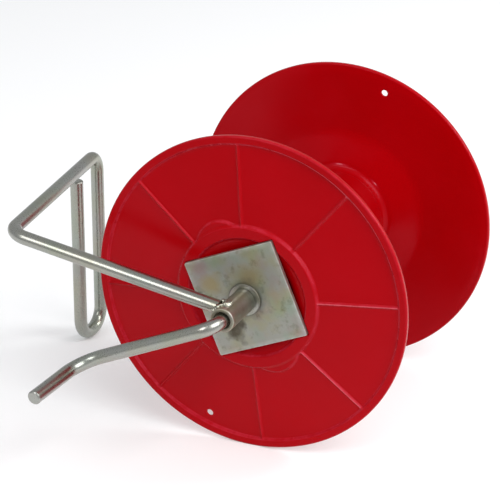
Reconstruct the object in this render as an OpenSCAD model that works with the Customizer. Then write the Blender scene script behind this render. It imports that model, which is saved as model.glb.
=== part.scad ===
// Hand reel for electric fence line: a red moulded spool, turned by a bent crank bar,
// runs in a short steel tube that carries a bent carrying handle with a hanging hook.
// The axle lies along Y with the crank at -Y. The origin is the middle of the spool.

/* [Spool] */
// Diameter of the two flanges
flange_d = 280; // [250:1:330]
// Width of the spool over the outer faces of its two rims
spool_w = 212; // [150:1:280]
// Width of the raised band round the outer face, measured in from the rim
rim_band = 7; // [4:0.5:12]
// How far the rim's outer face stands proud of the web
rim_lip = 2; // [1:0.25:3]
// Thickness of the flange's web
web_t = 3; // [2:0.25:4]
// How far the web bulges outwards from the rim to the hub ring
dish = 5.5; // [0:0.5:10]
// Chamfer along the rim and the hub ring
edge_chamfer = 0.8; // [0.3:0.1:1.2]
// Outside diameter of the barrel that the line is wound on
barrel_d = 84; // [70:1:96]
// Wall of the barrel
barrel_wall = 3; // [2:0.25:4]
// Radius of the fillet at the root of the flange, round the barrel's seat
root_fillet = 6; // [3:0.5:8]
// Diameter of the crease where the web turns into the cone round the barrel
crease_d = 150; // [142:1:164]
// How far the cone falls back from the crease to the barrel's root
cone_drop = 8; // [4:0.5:12]

/* [Flange ribs] */
// Number of radial ribs on each flange
rib_count = 8; // [4:1:12]
// Thickness of a rib
rib_t = 2; // [1.2:0.2:4]
// Height of a rib above the web
rib_h = 1.6; // [0.6:0.2:2]
// Angle of the first rib, from +X towards +Z
rib_turn = 5; // [0:1:44]

/* [Hub ring] */
// Outside diameter of the ring that the end plate sits on
hub_ring_d = 126; // [122:1:140]
// Radial width of the ring
hub_ring_w = 10; // [7:0.5:12]
// Height of the ring above the web
hub_ring_h = 3; // [2:0.25:5]
// Depth of the recess inside the ring, at its edge
recess_depth = 2.2; // [2.2:0.1:6]
// Diameter of the two lobes that widen the ring, on opposite sides
lobe_d = 49; // [45:1:54]
// Distance from the axle to the middle of a lobe
lobe_reach = 45; // [42:0.5:47]
// Angle of the first lobe, from +X towards +Z
lobe_turn = 118.5; // [105:0.5:130]
// Height of a lobe above the web, beside the ring
lobe_h = 1.5; // [0.8:0.1:1.8]
// Depth of the seats that hold the plate's corners
seat_depth = 1.6; // [0.8:0.1:2]
// Gap between a plate's edge and the side of its seat
seat_gap = 0.2; // [0.1:0.05:0.4]

/* [Barrel joint] */
// Length of the collar on each flange that the barrel butts against
collar_len = 1; // [0.5:0.25:4]
// Length of the barrel's spigot inside each flange
spigot_len = 5; // [3:0.5:6]
// Wall of the spigot
spigot_wall = 2.6; // [1.6:0.2:4]
// Radial gap between the spigot and the flange
spigot_gap = 0.15; // [0.05:0.05:0.3]
// Chamfer at the outer mouth of the spigot's hole
seat_chamfer = 2; // [0.5:0.25:3]

/* [Line anchor holes] */
// Diameter of the hole in each flange that the line's end is tied to
anchor_d = 6; // [4:0.5:9]
// Distance of the hole's edge from the raised rim band
anchor_inset = 6; // [2:0.5:14]
// Angle of the front flange's hole, from +X towards +Z
anchor_turn = -108; // [-170:1:-95]
// Angle from the front flange's hole to the rear flange's
anchor_step = 180; // [0:1:359]

/* [End plates] */
// Side of the square plates that clamp the spool
plate_side = 85.5; // [84:0.5:90]
// Thickness of the plates
plate_t = 4; // [3:0.5:6]
// Turn of the plates about the axle
plate_turn = 23; // [0:1:44]
// Leg of the weld that holds the front plate to the axle
plate_weld = 4; // [2:0.5:8]

/* [Axle and crank] */
// Diameter of the bar that the crank and the handle are bent from
bar_d = 12; // [10:0.5:14]
// Distance from the axle to the crank's grip
crank_throw = 135; // [90:1:170]
// Angle of the crank arm below -X
crank_drop = 23.8; // [0:0.2:60]
// Bend radius where the axle turns into the crank arm, to the middle of the bar
crank_bend_r = 13; // [12:0.5:18]
// Straight length of the axle between the tube and that bend
crank_stand = 2; // [1:0.5:10]
// Bend radius where the arm turns into the grip, to the middle of the bar
grip_bend_r = 25; // [16:1:40]
// Length of the grip, from the arm's middle line to its end
grip_len = 72; // [60:1:120]
// Outward lean of the grip
grip_lean = 5; // [0:0.5:12]
// Chamfer at the bars' free ends
bar_chamfer = 1; // [0.3:0.1:2]
// How much the bar's radius draws in round a bend
bend_neck = 0.02; // [0.01:0.01:0.1]
// Length of the axle that stands out behind the nut
axle_tail = 4; // [1:0.5:15]

/* [Bearing tube] */
// Outside diameter of the tube
tube_d = 21; // [20:0.5:28]
// Length of the tube
tube_len = 44; // [30:1:70]
// Radial running clearance between the axle and the tube
run_gap = 0.05; // [0.02:0.01:0.09]
// End play between the thrust washer and the tube
end_play = 0.3; // [0.2:0.05:0.6]
// Chamfer at the mouths of the tube
mouth_chamfer = 1.4; // [0.5:0.1:2.5]

/* [Handle and hook] */
// Distance of the handle's first bar from the tube's outer end, to its middle
handle_inset = 11; // [8:0.5:20]
// Height of the first bar's middle line above the axle, at the axle
handle_lift = 5; // [0:0.5:6]
// Sideways distance from the axle to the handle's first bend
handle_reach = 202; // [180:1:240]
// Height of the first bend above the axle
handle_rise = 40; // [20:1:60]
// Distance along the axle from the first bend to the second
handle_run = 209; // [150:1:240]
// Bend radius at both bends of the handle, to the middle of the bar
handle_bend_r = 17; // [13:0.5:24]
// Sideways distance from the axle to the hook
hook_reach = 227; // [200:1:260]
// Height of the second bend above the axle
hook_top = 36; // [20:1:60]
// Distance between the middles of the hook's two legs
hook_pitch = 40.6; // [34:0.2:60]
// Straight length between the two bends at the foot of the hook
hook_flat = 4; // [2:0.5:8]
// Height of the hook's free end above the axle
hook_tip = 23.5; // [-40:0.5:25]
// Size of the weld at the handle's end
handle_weld = 4; // [2:0.5:5]

/* [Washers and nut] */
// Outside diameter of the washers
washer_d = 29; // [24:0.5:34]
// Thickness of the washers
washer_t = 2.5; // [1.5:0.25:4]
// Radial gap between the axle and the washers, the plates and the nut
slip_gap = 0.1; // [0.05:0.05:0.3]
// Width of the nut across its flats
nut_af = 18; // [16:0.5:24]
// Height of the nut
nut_h = 10; // [6:0.5:14]

/* [Hidden] */
$fn = 96;

bar_r = bar_d / 2;
flange_r = flange_d / 2;
barrel_r = barrel_d / 2;
bore_r = barrel_r - barrel_wall;
crease_r = crease_d / 2;
ring_r = hub_ring_d / 2;
ring_in_r = ring_r - hub_ring_w;
lobe_turns = [lobe_turn, lobe_turn + 180];
hole_r = bar_r + slip_gap;
// How far a cutter reaches past the face it cuts
past = 1;
// How far a bend laps into the straight bars beside it
bend_lap = 0.3;
// Step between the points of a rounded outline, in degrees
arc_step = 15;
// Thickness of the plate's weld at its toe
weld_toe = 0.5;
// Sideways distance from the axle at which the handle's weld ends
weld_stop = 2;

// Heights above the spool's middle plane, out along the axle
rim_face = spool_w / 2;
web_r = flange_r - rim_band;
web_edge = rim_face - rim_lip;
web_slope = dish / (web_r - ring_r);
function web_face(r) = web_edge + (web_r - r) * web_slope;
ring_face = web_face(ring_r) + hub_ring_h;
seat_face = ring_face - seat_depth;
crease_h = web_face(crease_r) - web_t;
root_r = barrel_r + root_fillet;
cone_slope = cone_drop / (crease_r - root_r);
function cone_under(r) = crease_h - (crease_r - r) * cone_slope;
root_h = cone_under(root_r);
joint_h = root_h - root_fillet - collar_len;
// The recess falls towards the axle as the cone does
function recess_face(r) = ring_face - recess_depth - (ring_in_r - r) * cone_slope;

// Places along the axle, in front of and behind the spool
plate_face = seat_face + plate_t;
washer_face = plate_face + washer_t;
tube_start = washer_face + end_play;
tube_end = tube_start + tube_len;
arm_h = tube_end + crank_stand + crank_bend_r;
nut_face = washer_face + nut_h;
axle_end = nut_face + axle_tail;
handle_h = tube_end - handle_inset;

// Anchor holes
anchor_r = web_r - anchor_inset - anchor_d / 2;

// Corner points of the crank and of the handle, joined by bends
arm_dir = [-cos(crank_drop), 0, -sin(crank_drop)];
grip_dir = arm_dir * sin(grip_lean) + [0, -cos(grip_lean), 0];
arm_end = arm_dir * crank_throw + [0, -arm_h, 0];
crank_path = [[0, axle_end, 0], [0, -arm_h, 0], arm_end, arm_end + grip_dir * grip_len];
hook_floor = -flange_r + bar_r;
hook_back = handle_run - handle_h;
hook_front = hook_back - hook_pitch;
hook_bend_r = (hook_pitch - hook_flat) / 2;
handle_path = [[0, -handle_h, handle_lift], [-handle_reach, -handle_h, handle_rise],
               [-hook_reach, hook_back, hook_top], [-hook_reach, hook_back, hook_floor],
               [-hook_reach, hook_front, hook_floor], [-hook_reach, hook_front, hook_tip]];

function unit(v) = v / norm(v);
function heading(p, i) = unit(p[i + 1] - p[i]);
function corner(p, i) = acos(heading(p, i - 1) * heading(p, i));
// Length that a bend takes off the bar on each side of its corner
function setback(p, bends, i) = (i == 0 || i == len(p) - 1) ? 0 : bends[i - 1] * tan(corner(p, i) / 2);

// Draws its children, made along Z, along a direction from a point
module along(from, dir) {
    translate(from) rotate([0, acos(dir.z), atan2(dir.y, dir.x)]) children();
}

// A round bar through corner points, with one bend radius for each inner corner
module bent_bar(p, bends) {
    for (i = [0 : len(p) - 2])
        along(p[i] + heading(p, i) * setback(p, bends, i), heading(p, i))
            cylinder(r = bar_r, h = norm(p[i + 1] - p[i]) - setback(p, bends, i) - setback(p, bends, i + 1));
    for (i = [1 : len(p) - 2])
        bar_bend(p[i], heading(p, i - 1), heading(p, i), bends[i - 1]);
}

// One bend of a bar: a part of a ring, which laps a little way into the straight bars on both sides
module bar_bend(at, from_dir, to_dir, bend_r) {
    turn = acos(from_dir * to_dir);
    lap = bend_lap / bend_r * 180 / PI;
    inward = unit(to_dir - from_dir * (from_dir * to_dir));
    centre = at - from_dir * (bend_r * tan(turn / 2)) + inward * bend_r;
    side = cross(-inward, from_dir);
    multmatrix([[-inward.x, from_dir.x, side.x, centre.x],
                [-inward.y, from_dir.y, side.y, centre.y],
                [-inward.z, from_dir.z, side.z, centre.z],
                [0, 0, 0, 1]])
        rotate(-lap) rotate_extrude(angle = turn + 2 * lap)
            translate([bend_r, 0]) circle(r = bar_r - bend_neck);
}

// The ring that is turned off a bar's end to leave a chamfer; the bar ends at the point
module end_cut(at, dir) {
    along(at - dir * bar_chamfer, dir) difference() {
        cylinder(r = bar_r + past, h = bar_chamfer + past);
        cylinder(r1 = bar_r, r2 = bar_r - bar_chamfer, h = bar_chamfer);
    }
}

// Draws its children, made along Z, along the axle towards the crank
module to_front() {
    rotate([90, 0, 0]) children();
}

// Draws its children, made along Z, along the axle towards the nut
module to_rear() {
    mirror([0, 1, 0]) to_front() children();
}

// Outline of a flange with its hub ring and its collar, as radius and height above the middle plane
function flange_outline() = concat(
    [[bore_r, joint_h], [bore_r, recess_face(bore_r + seat_chamfer) - seat_chamfer],
     [bore_r + seat_chamfer, recess_face(bore_r + seat_chamfer)],
     [ring_in_r, recess_face(ring_in_r)],
     [ring_in_r, ring_face - edge_chamfer], [ring_in_r + edge_chamfer, ring_face],
     [ring_r - edge_chamfer, ring_face], [ring_r, ring_face - edge_chamfer],
     [ring_r, web_face(ring_r)], [web_r, web_edge], [web_r, rim_face - edge_chamfer],
     [web_r + edge_chamfer, rim_face], [flange_r - edge_chamfer, rim_face],
     [flange_r, rim_face - edge_chamfer], [flange_r, web_edge - web_t + edge_chamfer],
     [flange_r - edge_chamfer, web_edge - web_t], [web_r, web_edge - web_t], [crease_r, crease_h]],
    [for (a = [0 : arc_step : 90]) [root_r - root_fillet * sin(a), root_h - root_fillet * (1 - cos(a))]],
    [[barrel_r, joint_h]]);

// Outline of the barrel's end: the butt face, and a spigot that is thickened back into the barrel
function barrel_end() =
    let (spigot_r = bore_r - spigot_gap, spigot_in_r = spigot_r - spigot_wall)
    [[barrel_r, joint_h], [spigot_r, joint_h], [spigot_r, joint_h + spigot_len],
     [spigot_in_r, joint_h + spigot_len], [spigot_in_r, joint_h - spigot_len],
     [bore_r, joint_h - spigot_len]];

// One radial rib on the outer face of a flange
module rib() {
    rotate([90, 0, 0]) linear_extrude(height = rib_t, center = true)
        polygon([[ring_r - edge_chamfer, web_face(ring_r) - web_t / 2],
                 [ring_r - edge_chamfer, web_face(ring_r) + rib_h],
                 [web_r + edge_chamfer, web_edge + rib_h],
                 [web_r + edge_chamfer, web_edge - web_t / 2]]);
}

// The lobes that widen the hub ring outwards, rooted in the web
module ring_lobes() {
    lobe_foot = web_face(ring_r) - web_t / 2;
    lobe_rise = lobe_h + web_t / 2;
    difference() {
        for (turn = lobe_turns)
            rotate(turn) translate([lobe_reach, 0, lobe_foot]) cylinder(d = lobe_d, h = lobe_rise);
        translate([0, 0, lobe_foot - past]) cylinder(r = ring_r - hub_ring_w / 2, h = lobe_rise + 2 * past);
    }
}

// One moulded flange with its ribs, hub ring and lobes, drilled for the line's end
module flange(hole_turn) {
    difference() {
        union() {
            rotate_extrude() polygon(flange_outline());
            for (i = [0 : rib_count - 1])
                rotate(rib_turn + i * 360 / rib_count) rib();
            ring_lobes();
        }
        rotate(plate_turn) translate([0, 0, seat_face + plate_t / 2])
            cube([plate_side + 2 * seat_gap, plate_side + 2 * seat_gap, plate_t], center = true);
        rotate(hole_turn) translate([anchor_r, 0, 0]) cylinder(d = anchor_d, h = ring_face);
    }
}

// A square end plate with its hole, seated on the hub ring, and any weld behind it
module end_plate(weld) {
    difference() {
        union() {
            rotate(plate_turn) translate([0, 0, seat_face + plate_t / 2])
                cube([plate_side, plate_side, plate_t], center = true);
            if (weld > 0)
                translate([0, 0, seat_face - weld])
                    cylinder(r1 = hole_r + weld_toe, r2 = hole_r + weld_toe + weld + past, h = weld + past);
        }
        translate([0, 0, seat_face - weld - past]) cylinder(r = hole_r, h = plate_t + weld + 2 * past);
    }
}

// A plain washer on the axle, against an end plate
module axle_washer() {
    translate([0, 0, plate_face]) difference() {
        cylinder(d = washer_d, h = washer_t);
        translate([0, 0, -past]) cylinder(r = hole_r, h = washer_t + 2 * past);
    }
}

module hook_handle() {
    color("silver") difference() {
        union() {
            bent_bar(handle_path, [handle_bend_r, handle_bend_r, hook_bend_r, hook_bend_r]);
            along(handle_path[0], heading(handle_path, 0))
                cylinder(r1 = bar_r + handle_weld, r2 = bar_r - bar_chamfer, h = tube_d / 2 + handle_weld);
        }
        end_cut(handle_path[5], heading(handle_path, 4));
        // The tube's own outline, and whatever lies over the tube or on its far side
        to_front() translate([0, 0, tube_start - past]) {
            cylinder(d = tube_d, h = tube_len + 2 * past);
            translate([-weld_stop, -tube_d, 0]) cube([2 * tube_d, 2 * tube_d, tube_len + 2 * past]);
        }
    }
}

module bearing_tube() {
    bearing_r = bar_r + run_gap;
    color("gainsboro") to_front() difference() {
        translate([0, 0, tube_start]) cylinder(d = tube_d, h = tube_len);
        translate([0, 0, tube_start - past]) cylinder(r = bearing_r, h = tube_len + 2 * past);
        translate([0, 0, tube_end - mouth_chamfer])
            cylinder(r1 = bearing_r, r2 = bearing_r + mouth_chamfer, h = mouth_chamfer);
        translate([0, 0, tube_start])
            cylinder(r1 = bearing_r + mouth_chamfer, r2 = bearing_r, h = mouth_chamfer);
    }
}

module crank_axle() {
    color("silver") difference() {
        bent_bar(crank_path, [crank_bend_r, grip_bend_r]);
        end_cut(crank_path[0], -heading(crank_path, 0));
        end_cut(crank_path[3], heading(crank_path, 2));
    }
}

module thrust_washer() {
    color("gainsboro") to_front() axle_washer();
}

module front_plate() {
    color("lightgray") to_front() end_plate(plate_weld);
}

module front_flange() {
    color("firebrick") to_front() flange(anchor_turn);
}

module barrel() {
    end = barrel_end();
    far_end = [for (i = [len(end) - 1 : -1 : 0]) [end[i].x, -end[i].y]];
    color("firebrick") to_front() rotate_extrude() polygon(concat(end, far_end));
}

module rear_flange() {
    color("firebrick") to_rear() flange(anchor_turn + anchor_step);
}

module rear_plate() {
    color("lightgray") to_rear() end_plate(0);
}

module rear_washer() {
    color("gainsboro") to_rear() axle_washer();
}

module axle_nut() {
    nut_r = nut_af / 2 / cos(30);
    nut_bevel = nut_r - nut_af / 2;
    color("gainsboro") to_rear() translate([0, 0, washer_face]) difference() {
        intersection() {
            cylinder(r = nut_r, h = nut_h, $fn = 6);
            union() {
                cylinder(r = nut_r, h = nut_h - nut_bevel);
                translate([0, 0, nut_h - nut_bevel]) cylinder(r1 = nut_r, r2 = nut_af / 2, h = nut_bevel);
            }
        }
        translate([0, 0, -past]) cylinder(r = hole_r, h = nut_h + 2 * past);
    }
}

hook_handle();
bearing_tube();
crank_axle();
thrust_washer();
front_plate();
front_flange();
barrel();
rear_flange();
rear_plate();
rear_washer();
axle_nut();
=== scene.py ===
# %% [markdown]
# # A hand reel for electric fence line
# The reel is a red moulded spool on a bent steel crank. The crank's axle runs in a short tube, and a bent
# bar that is welded to the tube is both the carrying handle and the hook that hangs the reel on a fence.
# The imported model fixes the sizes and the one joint. This lesson gives its pieces rounded edges, welds, a
# thread and real finishes. Each new piece is a surface worked out with numpy, in millimetres.

import bmesh
import bpy
import numpy as np
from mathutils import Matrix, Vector


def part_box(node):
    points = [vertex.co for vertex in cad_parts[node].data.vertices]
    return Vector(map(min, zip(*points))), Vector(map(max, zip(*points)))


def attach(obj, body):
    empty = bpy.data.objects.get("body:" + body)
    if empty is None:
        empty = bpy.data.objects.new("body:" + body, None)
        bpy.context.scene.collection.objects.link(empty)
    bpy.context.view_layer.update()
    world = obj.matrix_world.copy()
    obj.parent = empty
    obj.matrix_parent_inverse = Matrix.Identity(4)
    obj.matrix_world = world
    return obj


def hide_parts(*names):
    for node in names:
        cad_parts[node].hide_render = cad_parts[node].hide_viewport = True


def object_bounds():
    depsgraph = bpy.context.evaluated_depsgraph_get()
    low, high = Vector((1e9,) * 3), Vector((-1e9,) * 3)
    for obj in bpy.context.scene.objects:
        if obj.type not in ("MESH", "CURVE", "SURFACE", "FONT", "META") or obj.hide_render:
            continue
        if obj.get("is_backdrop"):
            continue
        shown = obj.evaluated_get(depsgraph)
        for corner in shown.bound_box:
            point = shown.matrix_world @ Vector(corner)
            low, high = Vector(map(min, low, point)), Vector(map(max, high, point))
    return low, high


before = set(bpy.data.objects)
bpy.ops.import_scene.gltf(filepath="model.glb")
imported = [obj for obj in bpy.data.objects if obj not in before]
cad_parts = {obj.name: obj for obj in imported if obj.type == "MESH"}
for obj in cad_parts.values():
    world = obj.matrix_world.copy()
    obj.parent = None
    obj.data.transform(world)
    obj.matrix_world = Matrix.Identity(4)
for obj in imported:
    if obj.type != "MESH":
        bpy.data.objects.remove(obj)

MM = 0.001
cad_low, cad_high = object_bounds()


def node_box(node):
    """Lowest and highest corner of a CAD node, in millimetres."""
    low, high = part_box(node)
    return np.array(low) / MM, np.array(high) / MM


print("nodes:", sorted(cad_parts))

# %% [markdown]
# ## Camera
# The photograph looks down on the reel from the front and a little to the right. A camera is a place, an aim
# and a lens, so it could be dragged into position by eye. Here it is worked out from two angles and a
# distance that were fitted to the two round rims, because circles show the angle of view very exactly.

# %% Camera
VIEW_AZIMUTH = np.radians(23.88)
VIEW_ELEVATION = np.radians(22.81)
VIEW_DISTANCE = 2.071
VIEW_TARGET = np.array([-0.0389, -0.0170, 0.0003])
LENS = 170.9
SENSOR_WIDTH = 36.0


def add_object(name, data):
    """A new object that holds this data, put into the scene."""
    made = bpy.data.objects.new(name, data)
    bpy.context.scene.collection.objects.link(made)
    return made


def facing(direction):
    """The turn that makes a camera or a lamp look back along a direction, with its top upwards."""
    return Vector(direction).to_track_quat("Z", "Y").to_euler()


towards_camera = np.array([np.sin(VIEW_AZIMUTH) * np.cos(VIEW_ELEVATION),
                           -np.cos(VIEW_AZIMUTH) * np.cos(VIEW_ELEVATION),
                           np.sin(VIEW_ELEVATION)])
camera = add_object("camera", bpy.data.cameras.new("camera"))
camera.data.lens = LENS
camera.data.sensor_width = SENSOR_WIDTH
camera.location = VIEW_TARGET + towards_camera * VIEW_DISTANCE
camera.rotation_euler = facing(towards_camera)
bpy.context.scene.camera = camera
bpy.context.scene.view_settings.view_transform = "Standard"
print("camera at", np.round(camera.location, 3))

# %% [markdown]
# ## Node helpers
# A finish in Blender is a graph of nodes that ends in a shader. It could be wired by hand in the shader
# editor. Here short functions add the nodes, so that a finish reads like a formula.

# %% Node helpers


def new_material(name):
    """An empty node material; returns the material, its node tree and its Principled shader."""
    material = bpy.data.materials.new(name)
    material.use_nodes = True
    return material, material.node_tree, material.node_tree.nodes["Principled BSDF"]


def fill(tree, node, inputs):
    """Fills a node's inputs: a socket is linked, and anything else is set as a plain value."""
    for socket, source in inputs.items():
        if isinstance(source, bpy.types.NodeSocket):
            tree.links.new(source, node.inputs[socket])
        else:
            node.inputs[socket].default_value = source


def add_node(tree, kind, inputs, **settings):
    """Adds a node, sets its properties and fills its inputs."""
    node = tree.nodes.new(kind)
    for key, value in settings.items():
        setattr(node, key, value)
    fill(tree, node, inputs)
    return node


def math_node(tree, operation, first, second):
    """One sum, product or other operation on two values."""
    return add_node(tree, "ShaderNodeMath", {0: first, 1: second}, operation=operation).outputs["Value"]


def vector_node(tree, operation, first, second, result="Vector"):
    """One operation on two vectors, whose result is a vector, or a number under the name Value."""
    return add_node(tree, "ShaderNodeVectorMath", {0: first, 1: second}, operation=operation).outputs[result]


def remap(tree, value, span, to=(0.0, 1.0), ease="LINEAR"):
    """Maps a value from one span to another, held at the ends."""
    spans = {"Value": value, "From Min": span[0], "From Max": span[1], "To Min": to[0], "To Max": to[1]}
    return add_node(tree, "ShaderNodeMapRange", spans, interpolation_type=ease).outputs["Result"]


def mix_colour(tree, factor, first, second, blend="MIX"):
    """Mixes two colours by a factor. The colour sockets of a Mix node are inputs 6 and 7 and output 2."""
    return add_node(tree, "ShaderNodeMix", {0: factor, 6: first, 7: second}, data_type="RGBA",
                    blend_type=blend).outputs[2]


def grey(level):
    """An even grey, as a colour."""
    return (level, level, level, 1.0)


print("node helpers ready")

# %% [markdown]
# ## Floor
# The reel stands on its rims and on the foot of its hook, so the floor lies at the model's lowest point.
# Glossy plastic mirrors what is around it: the paper under the reel is white, and the floor in front of it is
# greyer, so a flange is pale low down and deep red higher up. The paper glows a little for the camera and in
# reflections. A brighter lamp would whiten it too, but the reel's shadow and the reel itself would go pale.

# %% Floor
FLOOR_HALF = 6.0
FLOOR_ROUGHNESS = 0.9
FLOOR_GLOSS = 0.1
PAPER_WHITE = grey(0.84)
FLOOR_GREY = grey(0.46)
PAPER_END = (0.22, 0.70)
PAPER_SKEW = 0.44
PAPER_GLOW = 0.17

corner_signs = np.array([[-1, -1], [1, -1], [1, 1], [-1, 1]])
floor_points = np.column_stack([corner_signs * FLOOR_HALF, np.full(4, cad_low.z)])
floor_mesh = bpy.data.meshes.new("floor")
floor_mesh.from_pydata(floor_points.tolist(), [], [(0, 1, 2, 3)])
floor = add_object("floor", floor_mesh)
floor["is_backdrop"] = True

floor_paint, floor_tree, floor_shader = new_material("floor_paint")
floor_place = floor_tree.nodes.new("ShaderNodeTexCoord").outputs["Object"]
forwards = vector_node(floor_tree, "DOT_PRODUCT", floor_place, (PAPER_SKEW, -1.0, 0.0), "Value")
past_paper = remap(floor_tree, forwards, PAPER_END, ease="SMOOTHSTEP")
ray = floor_tree.nodes.new("ShaderNodeLightPath").outputs
seen = math_node(floor_tree, "MAXIMUM", ray["Is Camera Ray"], ray["Is Glossy Ray"])
seen = math_node(floor_tree, "MAXIMUM", seen, ray["Is Transmission Ray"])
on_paper = math_node(floor_tree, "SUBTRACT", 1.0, past_paper)
glow = math_node(floor_tree, "MULTIPLY", seen, on_paper)
fill(floor_tree, floor_shader, {
    "Base Color": mix_colour(floor_tree, past_paper, PAPER_WHITE, FLOOR_GREY),
    "Emission Color": grey(1.0),
    "Emission Strength": math_node(floor_tree, "MULTIPLY", glow, PAPER_GLOW),
    "Roughness": FLOOR_ROUGHNESS,
    "Specular IOR Level": FLOOR_GLOSS})
floor_mesh.materials.append(floor_paint)
print("floor at", round(cad_low.z, 4))

# %% [markdown]
# ## Lamps and room
# The light is a soft studio one: two broad lamps at the front, left and right of the camera, one behind for
# the rims, and an even room. One sun would be simpler, but bright steel needs broad lamps to mirror.

# %% Lamps and room
ROOM_COLOUR = (0.90, 0.92, 0.95, 1.0)
ROOM_LIGHT = 0.58


def lamp(name, place, size, watts):
    """A square soft lamp at a place, turned towards the middle of the reel."""
    light = bpy.data.lights.new(name, "AREA")
    light.shape = "SQUARE"
    light.size = size
    light.energy = watts
    holder = add_object(name, light)
    holder.location = place
    holder.rotation_euler = facing(place)


lamp("left_lamp", place=(-0.60, -1.8, 1.28), size=0.95, watts=11.8)
lamp("right_lamp", place=(1.70, -0.90, 1.65), size=1.9, watts=48.0)
lamp("back_lamp", place=(1.8, 1.3, 1.2), size=1.0, watts=30.0)

world = bpy.data.worlds.new("room")
world.use_nodes = True
fill(world.node_tree, world.node_tree.nodes["Background"], {"Color": ROOM_COLOUR, "Strength": ROOM_LIGHT})
bpy.context.scene.world = world
print("lamps:", sorted(bpy.data.lights.keys()))

# %% [markdown]
# ## Shared surface effects
# Plated steel is never one grey: the plating is passivated, which leaves faint yellow, green and pink
# clouds, and handling leaves small dull stains. A drawn bar also carries fine streaks along its length.
# Welding leaves straw, pink and brown tints near the joint, and the same soft spots also paint shadows on the
# plate. Moulded plastic has a slightly uneven gloss and worn edges, and a pale mark paints highlights and
# glints on plastic and steel as well as wear. Each effect is a node group, so that several materials can use
# it with their own values.

# %% Node group helpers
ORIGIN = (0.0, 0.0, 0.0)
SOCKETS = {1: "NodeSocketFloat", 3: "NodeSocketVector", 4: "NodeSocketColor"}


def new_group(name, inputs, outputs):
    """A shader node group. inputs and outputs give each named socket its default: one number makes a value
    socket, three a vector and four a colour. Returns the tree, the input sockets and the output node."""
    tree = bpy.data.node_groups.new(name, "ShaderNodeTree")
    for in_out, sockets in (("INPUT", inputs), ("OUTPUT", outputs)):
        for socket, value in sockets.items():
            kind = SOCKETS[np.size(value)]
            tree.interface.new_socket(socket, in_out=in_out, socket_type=kind).default_value = value
    return tree, tree.nodes.new("NodeGroupInput").outputs, tree.nodes.new("NodeGroupOutput")


def noise(tree, vector, scale, detail=3.0, roughness=0.5):
    """A noise texture's value on a vector."""
    return add_node(tree, "ShaderNodeTexNoise", {"Vector": vector, "Scale": scale, "Detail": detail,
                                                 "Roughness": roughness}).outputs["Fac"]


print("group sockets:", sorted(SOCKETS.values()))

# %% Plating clouds
# Each cloud has a colour, a shift that gives its noise another pattern, and the span of noise it fades over.
CLOUDS = (((1.00, 0.96, 0.70, 1.0), (0.0, 0.0, 0.0), (0.42, 0.66)),
          ((0.83, 1.00, 0.89, 1.0), (3.7, 1.3, 2.1), (0.45, 0.68)),
          ((1.00, 0.85, 0.89, 1.0), (8.2, 5.9, 4.4), (0.50, 0.70)))
STAIN = (0.62, 0.58, 0.48, 1.0)
STAIN_SHIFT = (3.7, 1.3, 2.1)
STAIN_SPAN = (0.55, 0.75)
STAIN_FINER = 2.6
STAIN_ROUGH = 0.25
SPECK_SCALE = 900.0
SPECK_SHADE = 0.14
SPECK_ROUGH = 0.03
GRAIN_SCALE = 260.0

plating, given, out = new_group(
    "plating_clouds",
    {"Position": ORIGIN, "Grey": grey(0.5), "Cloud": 0.5, "Cloud Scale": 30.0, "Stain": 0.3,
     "Roughness": 0.3},
    {"Colour": grey(0.5), "Roughness": 0.3, "Height": 0.0})
place = given["Position"]
colour = given["Grey"]
for cloud_colour, shift, span in CLOUDS:
    cloud = noise(plating, vector_node(plating, "ADD", place, shift), given["Cloud Scale"])
    amount = math_node(plating, "MULTIPLY", remap(plating, cloud, span), given["Cloud"])
    colour = mix_colour(plating, amount, colour, cloud_colour, "MULTIPLY")
stain_scale = math_node(plating, "MULTIPLY", given["Cloud Scale"], STAIN_FINER)
blotch = noise(plating, vector_node(plating, "ADD", place, STAIN_SHIFT), stain_scale, 5.0, 0.6)
stain = math_node(plating, "MULTIPLY", remap(plating, blotch, STAIN_SPAN), given["Stain"])
colour = mix_colour(plating, stain, colour, STAIN, "MULTIPLY")
speck = noise(plating, place, SPECK_SCALE, 2.0)
specks = mix_colour(plating, speck, grey(1 - SPECK_SHADE), grey(1 + SPECK_SHADE))
rough = math_node(plating, "ADD", given["Roughness"], math_node(plating, "MULTIPLY", stain, STAIN_ROUGH))
speck_rough = remap(plating, speck, (0.3, 0.7), (-SPECK_ROUGH, SPECK_ROUGH))
fill(plating, out, {"Colour": mix_colour(plating, 0.5, colour, specks, "MULTIPLY"),
                    "Roughness": math_node(plating, "ADD", rough, speck_rough),
                    "Height": noise(plating, place, GRAIN_SCALE, 4.0)})
print("made", plating.name)

# %% Streaks, worn edges and painted highlights, heat tints and painted shadows
PATCH_SPAN = (0.36, 0.62)
PATCH_LEAST = 0.3
TINT_FADE = (0.35, 1.0)
TINT_WOBBLE = (0.6, 1.4)

streaks, given, out = new_group("drawn_streaks", {"Surface": ORIGIN, "Length": 12.0, "Width": 1500.0},
                                {"Streak": 0.0})
stretch = {"X": given["Length"], "Y": given["Width"], "Z": 1.0}
stretch = add_node(streaks, "ShaderNodeCombineXYZ", stretch).outputs["Vector"]
drawn = vector_node(streaks, "MULTIPLY", given["Surface"], stretch)
fill(streaks, out, {"Streak": noise(streaks, drawn, 1.0, 3.0, 0.6)})

pale_mark_group, given, out = new_group("edge_wear_and_highlight", {"Position": ORIGIN, "Edge": 0.0, "Scale": 120.0}, {"Pale": 0.0})
patch = remap(pale_mark_group, noise(pale_mark_group, given["Position"], given["Scale"], 4.0, 0.6), PATCH_SPAN, (PATCH_LEAST, 1.0))
fill(pale_mark_group, out, {"Pale": math_node(pale_mark_group, "MULTIPLY", patch, given["Edge"])})

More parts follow.
